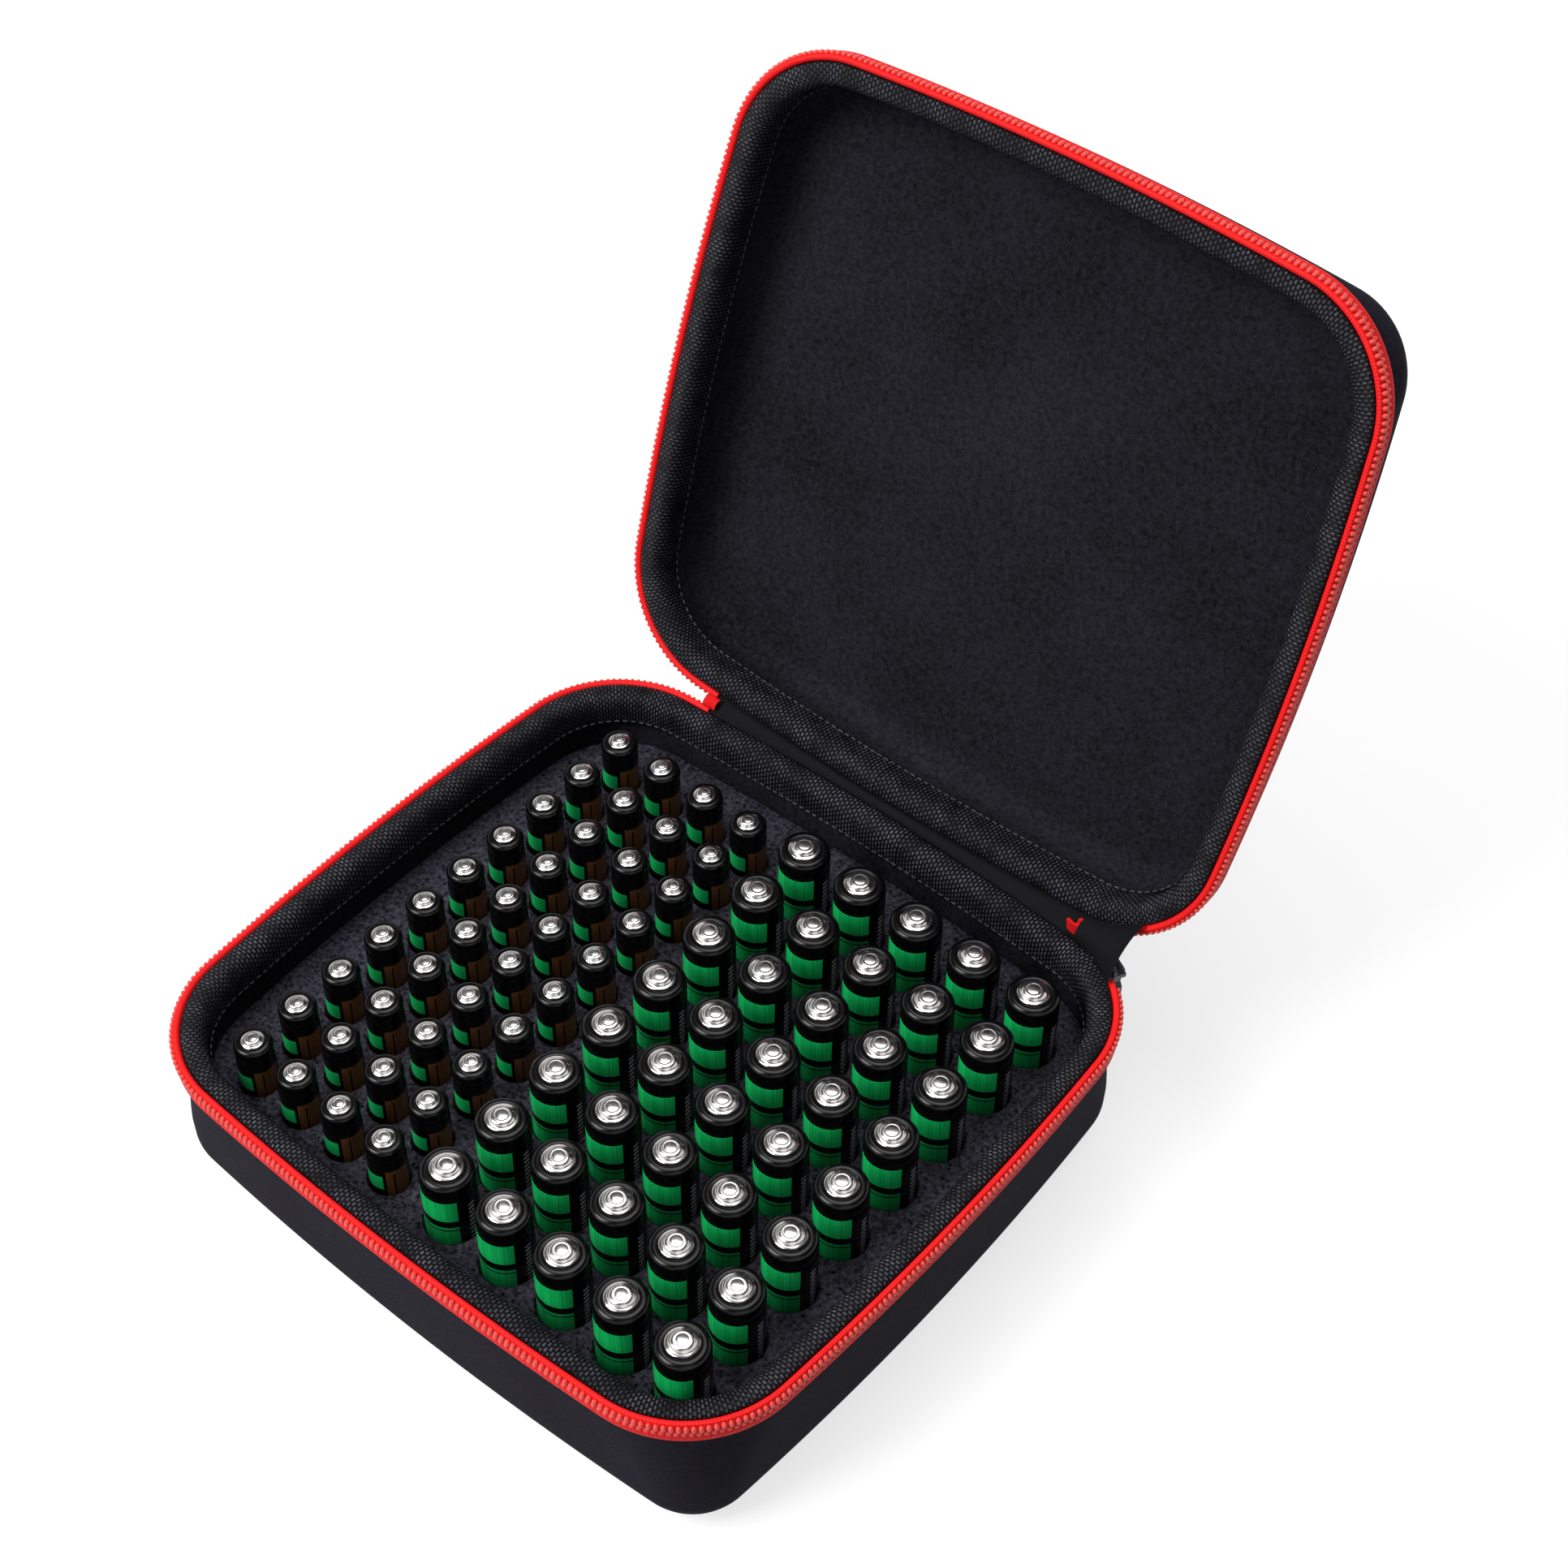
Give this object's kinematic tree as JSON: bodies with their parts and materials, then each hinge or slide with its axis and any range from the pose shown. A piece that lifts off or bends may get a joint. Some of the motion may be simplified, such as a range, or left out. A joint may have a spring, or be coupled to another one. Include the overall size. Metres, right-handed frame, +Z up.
{
  "type": "battery storage case",
  "caption": "Zip-round moulded case standing open, with a foam block holding upright cylindrical cells of two sizes in rows.",
  "frame": {"origin": "on the table, under the middle of the base's outline", "axes": "+Z up, X along the hinge, +Y from the front of the base towards the hinge"},
  "size_m": [0.208, 0.2813, 0.2351],
  "materials": {
    "shell_cloth": "fine woven cloth over moulded foam, matt",
    "lining_cloth": "fine knit, matt",
    "binding_tape": "ribbed tape",
    "zip_tape": "knitted tape",
    "zip_coil": "nylon coil",
    "hinge_cloth": "woven tape",
    "slider_metal": "satin enamel",
    "foam": "open-cell foam, matt",
    "large_cell_can": "gloss wrapper",
    "small_cell_can": "gloss wrapper",
    "cell_cap": "nickel-plated"
  },
  "bodies": {
    "base": {"base_binding": "binding_tape", "base_lining": "lining_cloth", "base_shell": "shell_cloth", "base_zip_coil": "zip_coil", "base_zip_tape": "zip_tape", "hinge_tape": "hinge_cloth", "zip_tape_tail": "zip_tape", "zip_slider": "slider_metal", "foam_floor_pad": "foam", "foam_block": "foam"},
    "lid": {"lid_binding": "binding_tape", "lid_lining": "lining_cloth", "lid_shell": "shell_cloth", "lid_zip_coil": "zip_coil", "lid_zip_tape": "zip_tape"},
    "slider_pull": {"slider_pull": "slider_metal"},
    "aa_row_1": {"aa_row_1_cans": "large_cell_can", "aa_row_1_caps": "cell_cap"},
    "aa_row_2": {"aa_row_2_cans": "large_cell_can", "aa_row_2_caps": "cell_cap"},
    "aa_row_3": {"aa_row_3_cans": "large_cell_can", "aa_row_3_caps": "cell_cap"},
    "aa_row_4": {"aa_row_4_cans": "large_cell_can", "aa_row_4_caps": "cell_cap"},
    "aa_row_5": {"aa_row_5_cans": "large_cell_can", "aa_row_5_caps": "cell_cap"},
    "aaa_row_1": {"aaa_row_1_cans": "small_cell_can", "aaa_row_1_caps": "cell_cap"},
    "aaa_row_2": {"aaa_row_2_cans": "small_cell_can", "aaa_row_2_caps": "cell_cap"},
    "aaa_row_3": {"aaa_row_3_cans": "small_cell_can", "aaa_row_3_caps": "cell_cap"},
    "aaa_row_4": {"aaa_row_4_cans": "small_cell_can", "aaa_row_4_caps": "cell_cap"}
  },
  "joints": [
    {"name": "lid_hinge", "type": "hinge", "parent": "base", "child": "lid", "pos_m": [0, 0.09665, 0.052], "axis": [-1, 0, 0], "range_deg": [-110, 70], "deforming": ["hinge_tape"]},
    {"name": "pull_swing", "type": "hinge", "parent": "base", "child": "slider_pull", "pos_m": [0.08403, 0.09466, 0.04865], "axis": [-0.891, 0.454, 0], "range_deg": [-60, 0]},
    {"name": "aa_row_1_lift", "type": "slide", "parent": "base", "child": "aa_row_1", "axis": [0, 0, 1], "range_m": [0, 0.03]},
    {"name": "aa_row_2_lift", "type": "slide", "parent": "base", "child": "aa_row_2", "axis": [0, 0, 1], "range_m": [0, 0.03]},
    {"name": "aa_row_3_lift", "type": "slide", "parent": "base", "child": "aa_row_3", "axis": [0, 0, 1], "range_m": [0, 0.03]},
    {"name": "aa_row_4_lift", "type": "slide", "parent": "base", "child": "aa_row_4", "axis": [0, 0, 1], "range_m": [0, 0.03]},
    {"name": "aa_row_5_lift", "type": "slide", "parent": "base", "child": "aa_row_5", "axis": [0, 0, 1], "range_m": [0, 0.03]},
    {"name": "aaa_row_1_lift", "type": "slide", "parent": "base", "child": "aaa_row_1", "axis": [0, 0, 1], "range_m": [0, 0.03]},
    {"name": "aaa_row_2_lift", "type": "slide", "parent": "base", "child": "aaa_row_2", "axis": [0, 0, 1], "range_m": [0, 0.03]},
    {"name": "aaa_row_3_lift", "type": "slide", "parent": "base", "child": "aaa_row_3", "axis": [0, 0, 1], "range_m": [0, 0.03]},
    {"name": "aaa_row_4_lift", "type": "slide", "parent": "base", "child": "aaa_row_4", "axis": [0, 0, 1], "range_m": [0, 0.03]}
  ]
}
